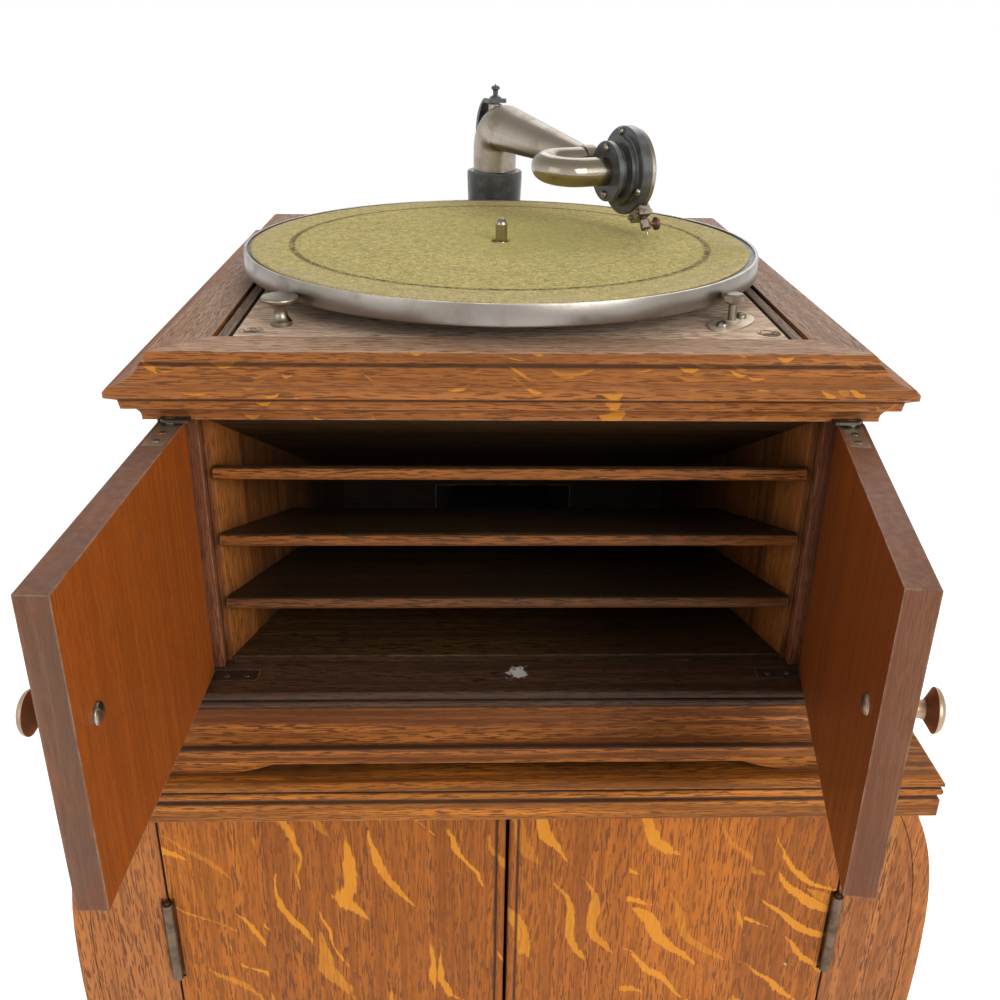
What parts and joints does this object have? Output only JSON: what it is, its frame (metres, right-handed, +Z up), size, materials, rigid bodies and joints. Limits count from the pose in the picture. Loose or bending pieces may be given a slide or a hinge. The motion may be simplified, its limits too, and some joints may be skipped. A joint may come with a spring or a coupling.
{
  "type": "talking machine on a record cabinet",
  "caption": "Lidless oak talking machine with doors, louvred horn, turntable and gooseneck tone arm, standing on a bow-sided record cabinet with hinged doors.",
  "frame": {"origin": "centre of the rest pose's bounding box, on the floor", "axes": "+X to the right seen from the front, +Y to the back, +Z up"},
  "size_m": [0.5006, 0.5496, 1.0782],
  "materials": {
    "oak": "shellacked quarter-sawn oak",
    "oak_dark": "dark stained oak",
    "board": "worn dull oak",
    "nickel": "satin nickel plate",
    "bright_nickel": "polished nickel plate",
    "black_iron": "black japanned iron",
    "felt": "worn olive felt",
    "bronze": "aged bronze",
    "steel": "aged steel",
    "brass": "plain brass",
    "mica": "mica disc"
  },
  "bodies": {
    "case": {"top_frame_rails": "oak", "top_frame_sides": "oak", "base_front": "oak", "base_sides": "oak", "motor_board": "board", "board_screws": "nickel", "board_rests": "oak_dark", "case_sides": "oak", "case_posts": "oak_dark", "case_back": "oak_dark", "case_bottom": "oak_dark", "horn_sides": "oak", "horn_boards": "oak_dark", "louvres": "oak_dark", "horn_throat": "black_iron", "pivot_plates": "bronze", "motor_frame": "black_iron", "winding_escutcheon": "nickel", "speed_plate": "nickel", "tonearm_collar": "black_iron", "tonearm_bracket": "black_iron", "cabinet_top": "oak", "cabinet_sides": "oak", "cabinet_posts": "oak", "cabinet_floor": "oak_dark", "cabinet_apron": "oak", "cabinet_shelf": "oak_dark", "record_dividers": "oak_dark", "cabinet_hinges": "steel", "cabinet_back": "oak_dark"},
    "upper_left": {"upper_door_left": "oak", "upper_leaves_left": "bronze", "upper_knob_left": "bronze"},
    "lower_left": {"cabinet_door_left": "oak", "cabinet_leaves_left": "steel", "cabinet_knob_left": "bronze"},
    "upper_right": {"upper_door_right": "oak", "upper_leaves_right": "bronze", "upper_knob_right": "bronze"},
    "lower_right": {"cabinet_door_right": "oak", "cabinet_leaves_right": "steel", "cabinet_knob_right": "bronze"},
    "turntable": {"turntable_plate": "nickel", "turntable_felt": "felt", "turntable_spindle": "bright_nickel"},
    "barrel": {"spring_barrel": "brass"},
    "counter": {"intermediate_gear": "steel"},
    "governor_set": {"governor": "brass"},
    "winder": {"winding_wheel": "brass"},
    "crank_shaft": {"winding_shaft": "steel"},
    "brake": {"brake_knob": "nickel"},
    "speed": {"speed_screw": "nickel"},
    "arm": {"tonearm_tube": "nickel"},
    "neck": {"gooseneck": "bright_nickel", "reproducer": "black_iron", "reproducer_ring": "nickel", "diaphragm": "mica", "needle_bar": "nickel", "needle": "steel"},
    "thumb_screw": {"needle_screw": "steel"}
  },
  "joints": [
    {"name": "upper_door_left_swing", "type": "hinge", "parent": "case", "child": "upper_left", "pos_m": [-0.1635, -0.11169, 0.87], "axis": [0, 0, 1], "range_deg": [-8, 92]},
    {"name": "upper_door_right_swing", "type": "hinge", "parent": "case", "child": "upper_right", "pos_m": [0.1635, -0.11169, 0.87], "axis": [0, 0, 1], "range_deg": [-80, 20]},
    {"name": "cabinet_door_left_swing", "type": "hinge", "parent": "case", "child": "lower_left", "pos_m": [-0.1926, -0.13439, 0.46], "axis": [0, 0, -1], "range_deg": [0, 105]},
    {"name": "cabinet_door_right_swing", "type": "hinge", "parent": "case", "child": "lower_right", "pos_m": [0.1926, -0.13439, 0.46], "axis": [0, 0, 1], "range_deg": [0, 105]},
    {"name": "turntable_spin", "type": "hinge", "parent": "case", "child": "turntable", "pos_m": [-0.002, 0.05981, 0.99], "axis": [0, 0, 1], "continuous": true},
    {"name": "intermediate_spin", "type": "hinge", "parent": "case", "child": "counter", "pos_m": [-0.002, 0.03381, 0.918], "axis": [1, 0, 0], "continuous": true},
    {"name": "barrel_spin", "type": "hinge", "parent": "case", "child": "barrel", "pos_m": [-0.055, 0.07881, 0.918], "axis": [1, 0, 0], "continuous": true},
    {"name": "governor_spin", "type": "hinge", "parent": "case", "child": "governor_set", "pos_m": [0.02, 0.08431, 0.947], "axis": [1, 0, 0], "continuous": true},
    {"name": "crank_turn", "type": "hinge", "parent": "case", "child": "crank_shaft", "pos_m": [0.06, 0.11631, 0.918], "axis": [1, 0, 0], "continuous": true},
    {"name": "winding_wheel_spin", "type": "hinge", "parent": "case", "child": "winder", "pos_m": [-0.03, 0.07881, 0.918], "axis": [1, 0, 0], "continuous": true},
    {"name": "brake_turn", "type": "hinge", "parent": "case", "child": "brake", "pos_m": [-0.11779, -0.05477, 0.985], "axis": [0, 0, 1], "range_deg": [0, 35]},
    {"name": "speed_turn", "type": "hinge", "parent": "case", "child": "speed", "pos_m": [0.11608, -0.04726, 0.985], "axis": [0, 0, 1], "range_deg": [-180, 180]},
    {"name": "tonearm_swing", "type": "hinge", "parent": "case", "child": "arm", "pos_m": [-0.002, 0.23531, 1.01], "axis": [0, 0, 1], "range_deg": [-13, 28]},
    {"name": "gooseneck_lift", "type": "hinge", "parent": "arm", "child": "neck", "pos_m": [0.05558, 0.11932, 1.0394], "axis": [-0.9272, -0.3746, 0], "range_deg": [0, 105]},
    {"name": "needle_screw_turn", "type": "hinge", "parent": "neck", "child": "thumb_screw", "pos_m": [0.08779, 0.07805, 1.00703], "axis": [0.9272, 0.3746, 0], "range_deg": [-180, 180]}
  ],
  "couplings": [
    {"joint": "intermediate_spin", "follows": "turntable_spin", "ratio": 0.1},
    {"joint": "barrel_spin", "follows": "turntable_spin", "ratio": -0.02},
    {"joint": "governor_spin", "follows": "turntable_spin", "ratio": 8},
    {"joint": "winding_wheel_spin", "follows": "crank_turn", "ratio": -0.25}
  ]
}
